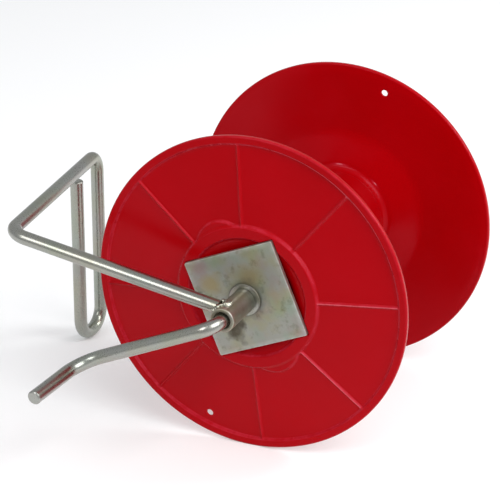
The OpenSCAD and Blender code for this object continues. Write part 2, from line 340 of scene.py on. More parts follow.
spot_group, given, out = new_group("heat_tint_or_shadow", {"Position": ORIGIN, "Centre": ORIGIN, "Size": 0.01}, {"Mask": 0.0})
away = vector_node(spot_group, "DISTANCE", given["Position"], given["Centre"], "Value")
wobble = remap(spot_group, noise(spot_group, given["Position"], 85.0, 3.0, 0.6), (0.3, 0.7), TINT_WOBBLE)
share = math_node(spot_group, "DIVIDE", math_node(spot_group, "MULTIPLY", away, wobble), given["Size"])
fill(spot_group, out, {"Mask": remap(spot_group, share, TINT_FADE, (1.0, 0.0))})
print("node groups:", [group.name for group in bpy.data.node_groups])

# %% [markdown]
# ## Red plastic
# The plastic is a deep red with a moulded gloss: a dielectric, so its reflections are weak. One flat colour
# would look like paint, so the red flows a little and the gloss is smeared. Each point carries a mark of wear
# and painted light: up to 1 it is paler, as a worn edge or a painted highlight, and above 1 it is a pale
# scuff or a painted glint. Constants sit on the shader's own sockets, and only what changes over the surface
# comes through nodes.

# %% Red plastic
RED = (0.385, 0.0003, 0.0024, 1.0)
RED_DEEP = (0.360, 0.0002, 0.0016, 1.0)
RED_WORN_AND_HIGHLIT = (0.52, 0.026, 0.050, 1.0)
# Pale pink where the mark passes 1: painted glints, and the palest worn or highlit places.
RED_SCUFF_AND_GLINT = (0.80, 0.30, 0.34, 1.0)
RED_SHEEN = (1.0, 0.35, 0.50, 1.0)
RED_GLOSS = 0.20
RED_ROUGHNESS = (0.17, 0.27)
RED_PALE_MIX = 0.8
RED_PALE_ROUGH = 0.12


def place_group(tree, group, inputs):
    """Puts a shared node group into a material, fills its inputs and returns its outputs."""
    return add_node(tree, "ShaderNodeGroup", inputs, node_tree=group).outputs


def place_and_edge(tree):
    """A point's position on its piece, and its mark of wear and painted light."""
    position = tree.nodes.new("ShaderNodeTexCoord").outputs["Object"]
    return position, add_node(tree, "ShaderNodeAttribute", {}, attribute_name="edge").outputs["Fac"]


def bump(tree, height, strength, distance):
    """A normal that is tilted as if the surface had this height."""
    heights = {"Height": height, "Strength": strength, "Distance": distance}
    return add_node(tree, "ShaderNodeBump", heights).outputs["Normal"]


red_plastic, tree, shader = new_material("red_plastic")
position, edge = place_and_edge(tree)
flow = remap(tree, noise(tree, position, 14.0), (0.35, 0.65))
# The pale mark is wear in some places and a painted highlight or glint in others.
worn_or_highlit = place_group(tree, pale_mark_group, {"Position": position, "Edge": edge, "Scale": 140.0})["Pale"]
colour = mix_colour(tree, flow, RED_DEEP, RED)
colour = mix_colour(tree, math_node(tree, "MULTIPLY", worn_or_highlit, RED_PALE_MIX), colour, RED_WORN_AND_HIGHLIT)
smear = remap(tree, noise(tree, position, 42.0, 4.0, 0.6), (0.35, 0.70), RED_ROUGHNESS)
fill(tree, shader, {
    "Base Color": mix_colour(tree, math_node(tree, "SUBTRACT", edge, 1.0), colour, RED_SCUFF_AND_GLINT),
    "Roughness": math_node(tree, "ADD", smear, math_node(tree, "MULTIPLY", worn_or_highlit, RED_PALE_ROUGH)),
    "Specular IOR Level": RED_GLOSS,
    "Specular Tint": RED_SHEEN,
    "Normal": bump(tree, noise(tree, position, 55.0, 2.0), strength=0.06, distance=0.0006)})
print("made", red_plastic.name)

# %% [markdown]
# ## Zinc plated steel
# The steel is bright zinc plate: fully metallic, greyer and rougher on the sheet plates than on the drawn
# bars. One function makes the four kinds from the shared effects. On steel a mark above 0 is a bright worn
# edge or a painted highlight, and one below 0 is dull and brown: on a weld, as a painted shadow at the
# washers' edges, and inside the tube's mouth.

# %% Zinc plated steel
ZINC_WORN_OR_HIGHLIT = (0.74, 0.74, 0.72, 1.0)
STRAW = (0.36, 0.29, 0.15, 1.0)
PINK_HEAT = (0.33, 0.23, 0.23, 1.0)
BROWN_HEAT_OR_SHADE = (0.075, 0.060, 0.042, 1.0)
PLATE_Y = -0.1149
# Each spot has a colour, a strength, a centre and a size in metres: six on the front plate, two on the tube.
# The brown spot at the plate's middle is a painted shadow round the washer, and the next two brown spots are
# the painted shadow of the tube and crank; the rest are heat tints.
TINT_AND_SHADOW_SPOTS = ((STRAW, 0.75, (-0.031, PLATE_Y, 0.009), 0.011),
         (STRAW, 0.6, (0.004, PLATE_Y, 0.021), 0.013),
         (PINK_HEAT, 0.6, (-0.043, PLATE_Y, 0.020), 0.010),
         (BROWN_HEAT_OR_SHADE, 0.5, (0.0, PLATE_Y, 0.0), 0.023),
         (BROWN_HEAT_OR_SHADE, 0.8, (-0.008, PLATE_Y, -0.031), 0.010),
         (BROWN_HEAT_OR_SHADE, 0.7, (-0.006, PLATE_Y, -0.022), 0.008),
         (STRAW, 0.6, (-0.009, -0.1507, 0.006), 0.016),
         (PINK_HEAT, 0.5, (0.0088, -0.140, 0.0057), 0.019))
ALONG_BAR = {"Length": 14.0, "Width": 1500.0}
ROUND_LATHE = {"Length": 1500.0, "Width": 14.0}
ZINC_PALE_MIX = 0.5
DULL = 0.55
DULL_ROUGH = 0.25
STREAK_RELIEF = 0.4
ZINC_RELIEF = 0.0003


def zinc(name, base, cloud, cloud_scale, stain, roughness, streak, drawn, relief, spots=()):
    """Plated steel: clouds and stains on a base grey, streaks, heat tints and painted shadows, worn edges and
    painted highlights, and dull brown welds and painted shade.
    """
    material, tree, shader = new_material(name)
    position, edge = place_and_edge(tree)
    plate = place_group(tree, plating, {"Position": position, "Grey": base, "Cloud": cloud,
                                        "Cloud Scale": cloud_scale, "Stain": stain, "Roughness": roughness})
    surface = add_node(tree, "ShaderNodeUVMap", {}, uv_map="Surface").outputs["UV"]
    lines = place_group(tree, streaks, {"Surface": surface, **drawn})["Streak"]
    shade = mix_colour(tree, lines, grey(1 - streak), grey(1 + streak))
    colour = mix_colour(tree, 1.0, plate["Colour"], shade, "MULTIPLY")
    for spot_colour, strength, centre, size in spots:
        mask = place_group(tree, spot_group, {"Position": position, "Centre": centre, "Size": size})["Mask"]
        colour = mix_colour(tree, math_node(tree, "MULTIPLY", mask, strength), colour, spot_colour)
    pale_part = math_node(tree, "MAXIMUM", edge, 0.0)
    worn_or_highlit = place_group(tree, pale_mark_group, {"Position": position, "Edge": pale_part, "Scale": 160.0})["Pale"]
    colour = mix_colour(tree, math_node(tree, "MULTIPLY", worn_or_highlit, ZINC_PALE_MIX), colour, ZINC_WORN_OR_HIGHLIT)
    dull = math_node(tree, "MAXIMUM", math_node(tree, "MULTIPLY", edge, -1.0), 0.0)
    dull_rough = math_node(tree, "MULTIPLY", dull, DULL_ROUGH)
    height = math_node(tree, "ADD", math_node(tree, "MULTIPLY", lines, STREAK_RELIEF), plate["Height"])
    fill(tree, shader, {
        "Base Color": mix_colour(tree, math_node(tree, "MULTIPLY", dull, DULL), colour, BROWN_HEAT_OR_SHADE),
        "Metallic": 1.0,
        "Roughness": math_node(tree, "ADD", plate["Roughness"], dull_rough),
        "Normal": bump(tree, height, relief, ZINC_RELIEF)})
    print("made", name)
    return material


zinc_bar = zinc("zinc_bar", (0.37, 0.37, 0.345, 1.0), cloud=0.45, cloud_scale=22.0, stain=0.22,
                roughness=0.29, streak=0.05, drawn=ALONG_BAR, relief=0.012)
zinc_tube = zinc("zinc_tube", (0.40, 0.395, 0.355, 1.0), cloud=0.7, cloud_scale=40.0, stain=0.5,
                 roughness=0.42, streak=0.08, drawn=ROUND_LATHE, relief=0.10, spots=TINT_AND_SHADOW_SPOTS)
zinc_plate = zinc("zinc_plate", (0.350, 0.352, 0.314, 1.0), cloud=1.0, cloud_scale=42.0, stain=0.75,
                  roughness=0.54, streak=0.05, drawn=ALONG_BAR, relief=0.12, spots=TINT_AND_SHADOW_SPOTS)
zinc_fastener = zinc("zinc_fastener", (0.36, 0.36, 0.335, 1.0), cloud=0.6, cloud_scale=60.0, stain=0.3,
                     roughness=0.32, streak=0.08, drawn=ROUND_LATHE, relief=0.10)

# %% [markdown]
# ## From grids of points to meshes
# Every piece below is one or more grids of points. A grid becomes four-sided faces between neighbouring
# points. It closes on itself across, as a tube does, and may close along too, as a ring does. Modelling by
# hand with extrudes would do as well, but a grid keeps each shape a formula, so a size can change and the
# piece follows.

# %% Grid to mesh
MERGE = 2e-7
SMOOTH_ANGLE = np.radians(40)


def skin(points, close_rows=True, edge=None, keep=None, walls=None):
    """A patch of surface from a grid of points (rows, columns, 3), closed from the last column to the first.
    Faces join each point to its neighbours. The surface coordinates run with the mean distance between rows
    and between columns. edge is a mark of wear and painted light for each point, keep leaves faces out, walls
    adds faces."""
    rows, columns = points.shape[:2]
    i = np.arange(rows if close_rows else rows - 1)[:, None]
    j = np.arange(columns)[None, :]
    next_i, next_j = (i + 1) % rows, (j + 1) % columns
    faces = np.stack(np.broadcast_arrays(i * columns + j, i * columns + next_j,
                                         next_i * columns + next_j, next_i * columns + j), axis=-1)
    along = np.linalg.norm(points - np.roll(points, -1, axis=0), axis=-1).mean(axis=1)
    around = np.linalg.norm(points - np.roll(points, -1, axis=1), axis=-1).mean(axis=0)
    u = np.concatenate([[0.0], np.cumsum(along)]) * MM
    v = np.concatenate([[0.0], np.cumsum(around)]) * MM
    uv = np.stack([np.stack(np.broadcast_arrays(u[i + a], v[j + b]), axis=-1)
                   for a, b in ((0, 0), (0, 1), (1, 1), (1, 0))], axis=2)
    keep = np.ones(faces.shape[:2], bool) if keep is None else keep
    walls = np.zeros((0, 4), int) if walls is None else walls
    return {"points": points.reshape(-1, 3),
            "faces": np.concatenate([faces[keep], walls]),
            "uv": np.concatenate([uv[keep], np.zeros((len(walls), 4, 2))]),
            "edge": np.zeros(rows * columns) if edge is None else edge.reshape(-1)}


def build(name, skins, material, body, slot, *nodes):
    """Joins patches into one mesh object, merges poles, turns faces outwards and hands it to its body."""
    points, uv, edge = [np.concatenate([s[key] for s in skins]) for key in ("points", "uv", "edge")]
    starts = np.cumsum([0] + [len(s["points"]) for s in skins])
    faces = np.concatenate([s["faces"] + start for s, start in zip(skins, starts)])
    mesh = bpy.data.meshes.new(name)
    mesh.from_pydata((points * MM).tolist(), [], faces.tolist())
    mesh.uv_layers.new(name="Surface").data.foreach_set("uv", uv.ravel().astype(np.float32))
    mesh.attributes.new("edge", "FLOAT", "POINT").data.foreach_set("value", edge.astype(np.float32))
    work = bmesh.new()
    work.from_mesh(mesh)
    bmesh.ops.remove_doubles(work, verts=work.verts, dist=MERGE)
    bmesh.ops.recalc_face_normals(work, faces=work.faces)
    work.to_mesh(mesh)
    work.free()
    mesh.shade_smooth()
    mesh.set_sharp_from_angle(angle=SMOOTH_ANGLE)
    mesh.materials.append(material)
    piece = add_object(name, mesh)
    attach(piece, body)
    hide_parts(*nodes)
    print(name, len(mesh.vertices), "points", len(mesh.polygons), "faces")


print("a closed grid of 3 by 4 points has", len(skin(np.zeros((3, 4, 3)))["faces"]), "faces")

# %% [markdown]
# ## Flanges
# Each flange is one moulding: a thin dished web with a raised rim, eight ribs that part it into flat panels,
# and a hub ring with two low lobes. It could be a lathe shape with ribs added by booleans, but their cut
# edges shade badly. A polar grid is used instead: rows run from the hub to the rim, over it and back, and
# the outer face is a height that depends on radius and angle. A height is measured along the axle, outwards
# from the middle of the spool.

# %% Flange web
RIM_FACE = 106.0
RIM_BAND = 7.0
RIM_LIP = 2.0
WEB_T = 3.0
DISH = 5.5
RING_R = 63.0
CREASE_R = 75.0
CREASE_SOFT = 1.6
CONE_DROP = 8.0
BARREL_R = 42.0
ROOT_FILLET = 6.0

flange_low, flange_high = node_box("front_flange")
flange_r = round(flange_high[2], 0)
ring_face, joint_h = -flange_low[1], -flange_high[1]
web_r = flange_r - RIM_BAND
web_edge = RIM_FACE - RIM_LIP
web_slope = DISH / (web_r - RING_R)
root_r = BARREL_R + ROOT_FILLET
crease_h = web_edge + (web_r - CREASE_R) * web_slope - WEB_T
cone_slope = CONE_DROP / (CREASE_R - root_r)


def inner_face(r):
    """Height of the winding side: the lower of the web and the cone, blended where they cross."""
    web = web_edge - WEB_T + (web_r - r) * web_slope
    cone = crease_h - (CREASE_R - r) * cone_slope
    return 0.5 * (web + cone - np.sqrt((web - cone) ** 2 + CREASE_SOFT ** 2))


print("flange radius", flange_r, "ring face", round(ring_face, 2), "barrel joint", round(joint_h, 2))

# %% Flange outer side
RIB_COUNT = 8
RIB_TURN = np.radians(5)
RIB_H = 1.6
RIB_HALF = 1.35
RIB_CREST_SOFT = 0.3
RIB_FOOT_SOFT = 0.12
# Rib crests are paler towards one angle, where the lamps light them: partly wear, partly a painted highlight.
RIB_PALE_TURN = np.radians(343)
RIB_PALE = (0.12, 1.35)
RING_IN_R = 53.0
RECESS_DEPTH = 2.2
LOBE_R = 24.5
LOBE_REACH = 45.0
LOBE_TURN = np.radians(118.5)
LOBE_H = 1.5
PLATE_TURN = np.radians(23)
PLATE_HALF = 42.75
SEAT_DEPTH = 1.6
STEP_RUB = 3.0
# A soft wall starts and ends at these distances from its line.
RING_WALL = (1.9, -1.1)
RECESS_WALL = (-1.6, 1.0)
LOBE_WALL = (1.7, -1.1)
SEAT_WALL = (0.7, 0.1)

rib_pitch = 2 * np.pi / RIB_COUNT


def smooth_step(value, start, stop):
    """A soft step: 0 at start, 1 at stop, with level ends."""
    t = np.clip((value - start) / (stop - start), 0, 1)
    return t * t * (3 - 2 * t)


def recess_face(r):
    """Height of the recess inside the hub ring: a cone that falls towards the axle."""
    return ring_face - RECESS_DEPTH - (RING_IN_R - r) * cone_slope


def pale_side(turn, palest_turn, least, more):
    """A pale mark round a ring, for wear and for painted highlights: least everywhere, with more on top of it
    at one angle, which falls to nothing a quarter turn to either side."""
    return least + more * np.maximum(np.cos(turn - palest_turn), 0) ** 2


def across_turned(x, z, angle):
    """Distances along and across a line that lies at an angle."""
    return x * np.cos(angle) + z * np.sin(angle), z * np.cos(angle) - x * np.sin(angle)


def outer_face(r, turn):
    """Height of the outer side at a radius and an angle, and its mark of wear and painted highlight.
    Between two ribs the web is a flat panel: its height falls with the distance from the axle along the
    panel's middle. A rib is a ridge with even flanks and a soft crest. Ring and lobes are discs raised by
    soft steps, and the plate's square seat is lowered the same way."""
    from_middle = np.mod(turn - RIB_TURN, rib_pitch) - rib_pitch / 2
    panel = web_edge + (web_r - r * np.cos(from_middle) / np.cos(rib_pitch / 2)) * web_slope
    from_rib = r * np.sin(rib_pitch / 2 - np.abs(from_middle))
    flank = 1 - (np.hypot(from_rib, RIB_CREST_SOFT) - RIB_CREST_SOFT) / RIB_HALF
    rib = 0.5 * (flank + np.hypot(flank, RIB_FOOT_SOFT))
    height = np.where(r < (RING_R + RING_IN_R) / 2, recess_face(r), panel + RIB_H * rib)
    x, z = r * np.cos(turn), r * np.sin(turn)
    along, across = across_turned(x, z, LOBE_TURN)
    from_lobe = np.hypot(np.abs(along) - LOBE_REACH, across) - LOBE_R
    lobe = smooth_step(np.maximum(from_lobe, RING_R - 1 - r), *LOBE_WALL)
    lobe_top = web_edge + (web_r - RING_R) * web_slope + LOBE_H
    height = height + (np.maximum(height, lobe_top) - height) * lobe
    ring = smooth_step(r - RING_R, *RING_WALL) * smooth_step(r - RING_IN_R, *RECESS_WALL)
    height = height + (ring_face - height) * ring
    along, across = across_turned(x, z, PLATE_TURN)
    seat = smooth_step(np.maximum(np.abs(along), np.abs(across)) - PLATE_HALF, *SEAT_WALL)
    height = height + (np.minimum(height, ring_face - SEAT_DEPTH) - height) * seat
    raised = np.maximum(lobe, ring)
    # Pale rib crests, partly wear and partly a painted highlight, and worn edges on the ring and lobes.
    rib_pale = pale_side(turn, RIB_PALE_TURN, *RIB_PALE) * rib * (r > RING_R)
    return height, np.maximum(rib_pale, STEP_RUB * raised * (1 - raised))


print("ribs", RIB_COUNT, "lobe top", round(web_edge + DISH + LOBE_H, 2))

# %% [markdown]
# ## Flange grid
# Even steps fine enough for a rib would need millions of faces, so columns crowd beside each rib, and rows
# crowd at the hub ring and the rim. The small hole that holds the line's end is made in the grid too: a
# square of faces is left out, the points round it are moved onto a circle, and a wall joins the two sides.

# %% Flange columns
ANCHOR_TURN = {-1: np.radians(-108), 1: np.radians(72)}
HOLE_R = 3
BLOCK = 5
HOLE_STEPS = np.arange(-BLOCK, BLOCK + 1)
FILL_STEP = np.radians(0.7)
RIB_FLANK = np.array([0.2, 0.4, 0.7, 1.0, 1.25, 1.5, 1.8, 2.2, 3.4])
RIB_OFFSETS = np.concatenate([-RIB_FLANK[::-1], [0], RIB_FLANK])


def table(*columns):
    """Puts values side by side as the columns of a table, with single ones repeated down it."""
    return np.column_stack(np.broadcast_arrays(*columns))


def flange_columns(anchor_turn):
    """Columns of the polar grid, as two pairs of angle and offset and the share to blend between them.
    Ribs and the line hole each bring a cluster of columns a fixed number of millimetres from their line,
    and the gap between two clusters is filled with even steps. Also returns the hole's middle column."""
    clusters = [(RIB_TURN + i * rib_pitch, RIB_OFFSETS) for i in range(RIB_COUNT)]
    clusters.append((np.mod(anchor_turn, 2 * np.pi), HOLE_STEPS))
    clusters.sort(key=lambda cluster: cluster[0])
    clusters.append((clusters[0][0] + 2 * np.pi, clusters[0][1]))
    parts = []
    for (turn, offsets), (next_turn, next_offsets) in zip(clusters, clusters[1:]):
        if offsets is HOLE_STEPS:
            hole_column = sum(len(part) for part in parts) + BLOCK
        share = np.linspace(0, 1, int((next_turn - turn) / FILL_STEP) - 8)[1:-1]
        parts.append(table(turn, offsets, turn, offsets, 0.0))
        parts.append(table(turn, offsets[-1], next_turn, next_offsets[0], share))
    return np.concatenate(parts), hole_column


def bend_round_hole(along, across):
    """Moves grid points beside the line hole so that a square ring of them becomes the hole's circle.
    The ring that lies HOLE_R steps out goes to that radius, and the shift fades to nothing at the block's
    edge. Also returns how many steps out each point is."""
    steps_out = np.maximum(np.abs(along), np.abs(across))
    length = np.maximum(np.hypot(along, across), 1e-6)
    fade = smooth_step(steps_out, HOLE_R, BLOCK)
    pull = (1 - fade) * steps_out / length + fade
    return along * pull, across * pull, steps_out


print("columns:", {side: len(flange_columns(turn)[0]) for side, turn in ANCHOR_TURN.items()})

# %% Flange rows
RIM_ROUND = 1.6
BAND_SLOPE = 1.4
ANCHOR_R = 124.0
BORE_R = 39.0
JOINT_ROUND = 0.35
BORE_ROUND = 0.3


def arc(centre, radius, start, stop, steps):
    """Points on an arc about a centre, from one angle to another in degrees."""
    angle = np.radians(np.linspace(start, stop, steps))
    return np.array(centre) + radius * np.column_stack([np.cos(angle), np.sin(angle)])


def flange_rows():
    """Rows of the polar grid: from the bore along the outer face, up the wall of the rim, over the rim, back
    along the winding side, and round the hub. Each row has a radius, a height, and a share that is 1 where
    it follows the outer face instead. Also returns the number of each stretch's first row."""
    # Plain numbers below space the rows: close where the face turns, far apart where it is even.
    field = np.concatenate([np.linspace(BORE_R + 2, RING_IN_R - 1.5, 8),
                            np.arange(RING_IN_R - 1, RING_R + 8.1, 0.5),
                            np.linspace(RING_R + 10, ANCHOR_R - BLOCK - 2, 7),
                            ANCHOR_R + HOLE_STEPS])
    share = np.linspace(0, 1, 9)
    wall_r = web_r - BAND_SLOPE + share * (BAND_SLOPE + 1)
    rim_back = web_edge - WEB_T
    round_r = flange_r - RIM_ROUND
    rim = np.concatenate([
        table([web_r + 1.4, web_r + 1.9, round_r - 0.6, round_r - 0.2], RIM_FACE),
        arc((round_r, RIM_FACE - RIM_ROUND), RIM_ROUND, 90, 0, 7),
        arc((round_r, rim_back + RIM_ROUND), RIM_ROUND, 0, -90, 7),
        [[round_r - 0.3, rim_back], [web_r + 1.5, rim_back], [web_r, inner_face(web_r)]]])
    inside = np.concatenate([ANCHOR_R - HOLE_STEPS,
                             np.linspace(ANCHOR_R - BLOCK - 3, CREASE_R + 12, 5),
                             np.linspace(CREASE_R + 9, CREASE_R - 9, 13),
                             np.linspace(CREASE_R - 12, root_r + 1.5, 4)])
    root_h = crease_h - CONE_DROP
    mouth = recess_face(BORE_R + 2)
    hub = np.concatenate([
        arc((root_r, root_h - ROOT_FILLET), ROOT_FILLET, 90, 180, 8),
        [[BARREL_R, joint_h + 0.5]],
        arc((BARREL_R - JOINT_ROUND, joint_h + JOINT_ROUND), JOINT_ROUND, 0, -90, 4),
        [[BORE_R + 0.5, joint_h]],
        arc((BORE_R + BORE_ROUND, joint_h + BORE_ROUND), BORE_ROUND, -90, -180, 3),
        [[BORE_R, mouth - 2.3], [BORE_R, mouth - 2.0], [BORE_R + 1.6, mouth - 0.4]]])
    stretches = {"field": table(field, 0.0, 1.0),
                 "wall": table(wall_r, RIM_FACE, 1 - smooth_step(share, 0, 1)),
                 "rim": table(*rim.T, 0.0),
                 "inside": table(inside, inner_face(inside), 0.0),
                 "hub": table(*hub.T, 0.0)}
    starts = np.cumsum([0] + [len(stretch) for stretch in stretches.values()])
    return np.concatenate(list(stretches.values())), dict(zip(stretches, starts))


rows, starts = flange_rows()
print("rows:", len(rows), "stretches start at", {name: int(start) for name, start in starts.items()})

# %% Flange skin
HOLE_CHAMFER = 0.3
# A painted highlight on the round of the rim, strongest at the upper right.
RIM_PALE_TURN = np.radians(55)
RIM_HIGHLIGHT = (0.05, 0.40)
# The rim's wall is painted paler to cancel the shade at its foot.
WALL_LIGHTENING = (0.5725, 0.58)
GLINT_MARK = 1.7
# Each painted glint on the root fillet has an angle and a half width.
ROOT_GLINTS = ((np.radians(92), np.radians(7)), (np.radians(45), np.radians(4.5)))


def flange_painted_light(edge, turn, starts):
    """Adds painted light to the outer side's marks: a paler rim wall that paints out the shade at its foot, a
    painted highlight on the round of the rim, and painted glints on the second row of the root fillet, each a
    bell curve of the angle."""
    wall = slice(starts["wall"] + 1, starts["rim"] - 1)
    edge[wall] = pale_side(turn[wall], RIM_PALE_TURN, *WALL_LIGHTENING)
    rim_round = slice(starts["rim"] + 4, starts["rim"] + 10)
    edge[rim_round] = pale_side(turn[rim_round], RIM_PALE_TURN, *RIM_HIGHLIGHT)
    root = starts["hub"] + 1
    edge[root] = sum(GLINT_MARK * np.exp(-((turn[root] - at) / width) ** 2) for at, width in ROOT_GLINTS)
    return edge


def hole_walls(outer_row, inner_row, hole_column, columns):
    """Faces of the line hole's wall, between the square rings of points on the outer and the winding side."""
    span = np.arange(-HOLE_R, HOLE_R)
    flat = np.full(2 * HOLE_R, HOLE_R)
    down = np.concatenate([-flat, span, flat, -span])
    over = np.concatenate([span, flat, -span, -flat])
    outer_ring = (outer_row + down) * columns + hole_column + over
    inner_ring = (inner_row - down) * columns + hole_column + over
    return np.column_stack([outer_ring, np.roll(outer_ring, -1), np.roll(inner_ring, -1), inner_ring])


def round_axle(radius, turn, y):
    """Points at a radius and an angle round the axle: x = r cos t, z = r sin t."""
    return np.stack(np.broadcast_arrays(radius * np.cos(turn), y, radius * np.sin(turn)), axis=-1)


def flange_skin(side):
    """The whole skin of a flange as one closed ring of rows.
    A column's angle blends from one cluster to the next, and an offset in millimetres counts as an angle of
    offset over radius. A row's height blends from the outer face to its own height."""
    rows, starts = flange_rows()
    columns, hole_column = flange_columns(ANCHOR_TURN[side])
    radius, height, follow = rows.T[:, :, None]
    turn_from, offset_from, turn_to, offset_to, share = columns.T
    r = np.repeat(radius, len(columns), axis=1)
    offset = np.repeat(offset_from[None, :], len(rows), axis=0)
    chamfer = np.zeros_like(r)
    keep = np.ones(r.shape, bool)
    outer_row, inner_row = starts["wall"] - 1 - BLOCK, starts["inside"] + BLOCK
    for row, sign in ((outer_row, 1), (inner_row, -1)):
        block = np.ix_(row + HOLE_STEPS, hole_column + HOLE_STEPS)
        along, across, steps_out = bend_round_hole(r[block] - ANCHOR_R, offset[block])
        r[block] = ANCHOR_R + along
        offset[block] = across
        chamfer[block] = -HOLE_CHAMFER * sign * (steps_out == HOLE_R)
        keep[row - HOLE_R:row + HOLE_R, hole_column - HOLE_R:hole_column + HOLE_R] = False
    turn = (turn_from + offset / r) * (1 - share) + (turn_to + offset_to / r) * share
    faced, edge = outer_face(r, turn)
    h = follow * faced + (1 - follow) * height + chamfer
    edge = flange_painted_light(edge * follow, turn, starts)
    walls = hole_walls(outer_row, inner_row, hole_column, len(columns))
    return skin(round_axle(r, turn, side * h), edge=edge, keep=keep, walls=walls)


build("front_flange_moulding", [flange_skin(-1)], red_plastic, "spool", "red_plastic", "front_flange")
build("rear_flange_moulding", [flange_skin(1)], red_plastic, "spool", "red_plastic", "rear_flange")

# %% [markdown]
# ## Barrel
# The line is wound on a plain tube that plugs into both flanges. A cylinder with a Solidify modifier would do
# for its middle, but a closed outline that is turned round the axle gives the stepped ends too. They are
# rounded a little, so a fine line shows where the tube meets a flange.

# %% Turned outlines


def unit(vector):
    """A vector, or each of a row of vectors, brought to length 1."""
    return np.asarray(vector, float) / np.linalg.norm(vector, axis=-1, keepdims=True)


def rounded(corners, radii, steps=5, support=0.25):
    """A closed outline with each corner rounded to its radius.
    A corner is cut back on both sides by its radius over the tangent of half its angle, and an arc joins the
    cuts. A support point beside each arc keeps the flats flat when they are shaded smooth."""
    corners = np.array(corners, float)
    outline = []
    for before, corner, after, radius in zip(np.roll(corners, 1, 0), corners, np.roll(corners, -1, 0), radii):
        to_before, to_after = unit(before - corner), unit(after - corner)
        half = np.arccos(np.clip(to_before @ to_after, -1, 1)) / 2
        cut = radius / np.tan(half)
        middle, across = unit(to_before + to_after), unit(to_after - to_before)
        centre = corner + middle * radius / np.sin(half)
        sweep = np.linspace(-1, 1, steps)[:, None] * (np.pi / 2 - half)
        outline.append([corner + to_before * (cut + support)])
        outline.append(centre - middle * radius * np.cos(sweep) + across * radius * np.sin(sweep))
        outline.append([corner + to_after * (cut + support)])
    return np.concatenate(outline)


def full_turn(count):
    """Even angles once round, without the last, which is the first again."""
    return np.linspace(0, 2 * np.pi, count, endpoint=False)


def lathe(outline, side, columns):
    """Turns an outline of radius and height round the axle, with y = side times height.
    side is -1 at the crank's end of the reel and 1 at the other."""
    return round_axle(outline[:, :1], full_turn(columns), side * outline[:, 1:])


square = rounded([[0, 0], [9, 0], [9, 9], [0, 9]], [1, 1, 1, 1])
print("a rounded square has", len(square), "points")

# %% Barrel
SPIGOT_LEN = 5.0
SPIGOT_R = 38.85
SPIGOT_IN_R = 36.25
BARREL_ROUND = 0.4

barrel_end = np.array([[BARREL_R, joint_h], [SPIGOT_R, joint_h], [SPIGOT_R, joint_h + SPIGOT_LEN],
                       [SPIGOT_IN_R, joint_h + SPIGOT_LEN], [SPIGOT_IN_R, joint_h - SPIGOT_LEN],
                       [BORE_R, joint_h - SPIGOT_LEN]])
barrel_corners = np.concatenate([barrel_end, barrel_end[::-1] * [1, -1]])
barrel_outline = rounded(barrel_corners, [BARREL_ROUND] * len(barrel_corners), steps=4)
barrel_skin = skin(lathe(barrel_outline, side=1, columns=160))
build("barrel_tube", [barrel_skin], red_plastic, "spool", "red_plastic", "barrel")

# %% [markdown]
# ## Bars
# The crank and the handle are bent from 12 mm round bar. A bent bar is a circle carried along a middle line
# of straights and arcs. A curve object with a bevel would give that too, but here the section can also
# change: a bend flattens the bar a little, its cut ends are chamfered, and the axle's end carries a thread.

# %% Middle lines
STRAIGHT_STEP = 7.0
BEND_STEP = 4.0
SIDE_HINT = (0.3, 0.2, 0.9)


def straight_rows(start, stop, heading, side):
    """Rows of a straight stretch in even steps, without its last point."""
    count = max(int(np.linalg.norm(stop - start) / STRAIGHT_STEP), 2)
    share = np.linspace(0, 1, count, endpoint=False)[:, None]
    return np.column_stack([start + (stop - start) * share, np.tile([*heading, *side], (count, 1)),
                            np.zeros((count, 4))])


def middle_line(corners, bend_radii):
    """Middle line of a bar through corner points, each inner corner replaced by an arc of its bend radius.
    A row holds a point, the heading, one side direction carried along without twist, and for a bend its
    inward direction and a share that rises to 1 in the middle of the bend: 3 + 3 + 3 + 3 + 1 numbers.
    In a bend by an angle t, heading turns to heading cos t + inward sin t, inward to inward cos t - heading
    sin t, and the side keeps its shares along inward and along the bend's axis."""
    corners = np.array(corners, float)
    headings = unit(np.diff(corners, axis=0))
    at, side = corners[0], unit(np.cross(headings[0], SIDE_HINT))
    parts = []
    for corner, heading, next_heading, radius in zip(corners[1:], headings, headings[1:], bend_radii):
        bend = np.arccos(np.clip(heading @ next_heading, -1, 1))
        stop = corner - heading * radius * np.tan(bend / 2)
        axis = unit(np.cross(heading, next_heading))
        inward = np.cross(axis, heading)
        angle = np.linspace(0, bend, int(np.degrees(bend) / BEND_STEP) + 3)[:, None]
        inwards = inward * np.cos(angle) - heading * np.sin(angle)
        curve = np.column_stack([stop + (inward - inwards) * radius,
                                 heading * np.cos(angle) + inward * np.sin(angle),
                                 (side @ inward) * inwards + (side @ axis) * axis,
                                 inwards, np.sin(np.pi * angle / bend)])
        parts += [straight_rows(at, stop, heading, side), curve[:-1]]
        at, side = curve[-1, 0:3], curve[-1, 6:9]
    parts.append(straight_rows(at, corners[-1], headings[-1], side))
    parts.append([[*corners[-1], *headings[-1], *side, 0, 0, 0, 0]])
    return np.concatenate(parts)


square_bend = middle_line([[0, 0, 0], [50, 0, 0], [50, 50, 0]], [17])
print("a line with one square bend has", len(square_bend), "rows")

# %% Bars along a middle line
BAR_R = 6.0
BAR_COLUMNS = 56
END_CHAMFER = 1.0
BEND_FLATTEN = 0.035


